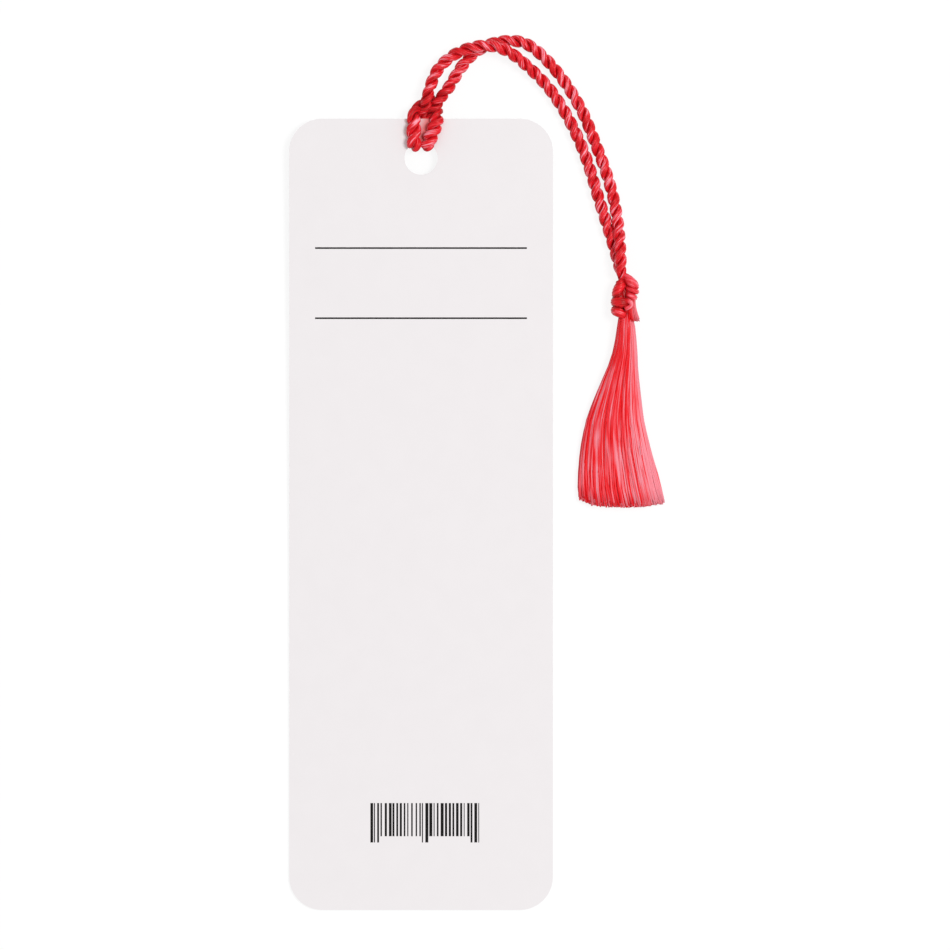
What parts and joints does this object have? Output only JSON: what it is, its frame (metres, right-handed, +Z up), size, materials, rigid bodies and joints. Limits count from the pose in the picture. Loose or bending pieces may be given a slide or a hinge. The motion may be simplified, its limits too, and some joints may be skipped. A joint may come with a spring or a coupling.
{
  "type": "bookmark",
  "caption": "Flat paper bookmark with rounded corners and a punched hole, with a hitched loop of twisted cord that ends in a knot and a combed-out tassel.",
  "frame": {"origin": "on the table under the middle of the card", "axes": "+X across the card to the side where the tassel lies, +Y along the card to its holed end, +Z up from the table, square to the card's plain upper face"},
  "size_m": [0.0715, 0.1687, 0.0045],
  "materials": {
    "card_stock": "matte, faintly mottled",
    "cord": "two-ply twisted floss with a silky shine",
    "floss": "combed floss with a silky shine"
  },
  "bodies": {
    "card": {"card": "card_stock", "hitch": "cord"},
    "loop_rise": {"rise_left": "cord", "rise_right": "cord"},
    "loop_drop": {"drop_left": "cord", "drop_right": "cord"},
    "knot": {"knot": "floss", "knot_tail": "floss"},
    "tassel": {"tassel": "floss"}
  },
  "joints": [
    {"name": "loop_sway", "type": "hinge", "parent": "card", "child": "loop_rise", "pos_m": [0.0034, 0.0824, 0.0024], "axis": [0, 0, 1], "range_deg": [-1.5, 20]},
    {"name": "drop_lift", "type": "hinge", "parent": "loop_rise", "child": "loop_drop", "pos_m": [0.0129, 0.0905, 0.00215], "axis": [-1, 0, 0], "range_deg": [0, 90]},
    {"name": "knot_swing", "type": "hinge", "parent": "loop_drop", "child": "knot", "pos_m": [0.03845, 0.045, 0.00225], "axis": [0, 0, 1], "range_deg": [-3, 45]},
    {"name": "tassel_lift", "type": "hinge", "parent": "knot", "child": "tassel", "pos_m": [0.0394, 0.0365, 0.002], "axis": [-1, 0, 0], "range_deg": [0, 90]}
  ]
}
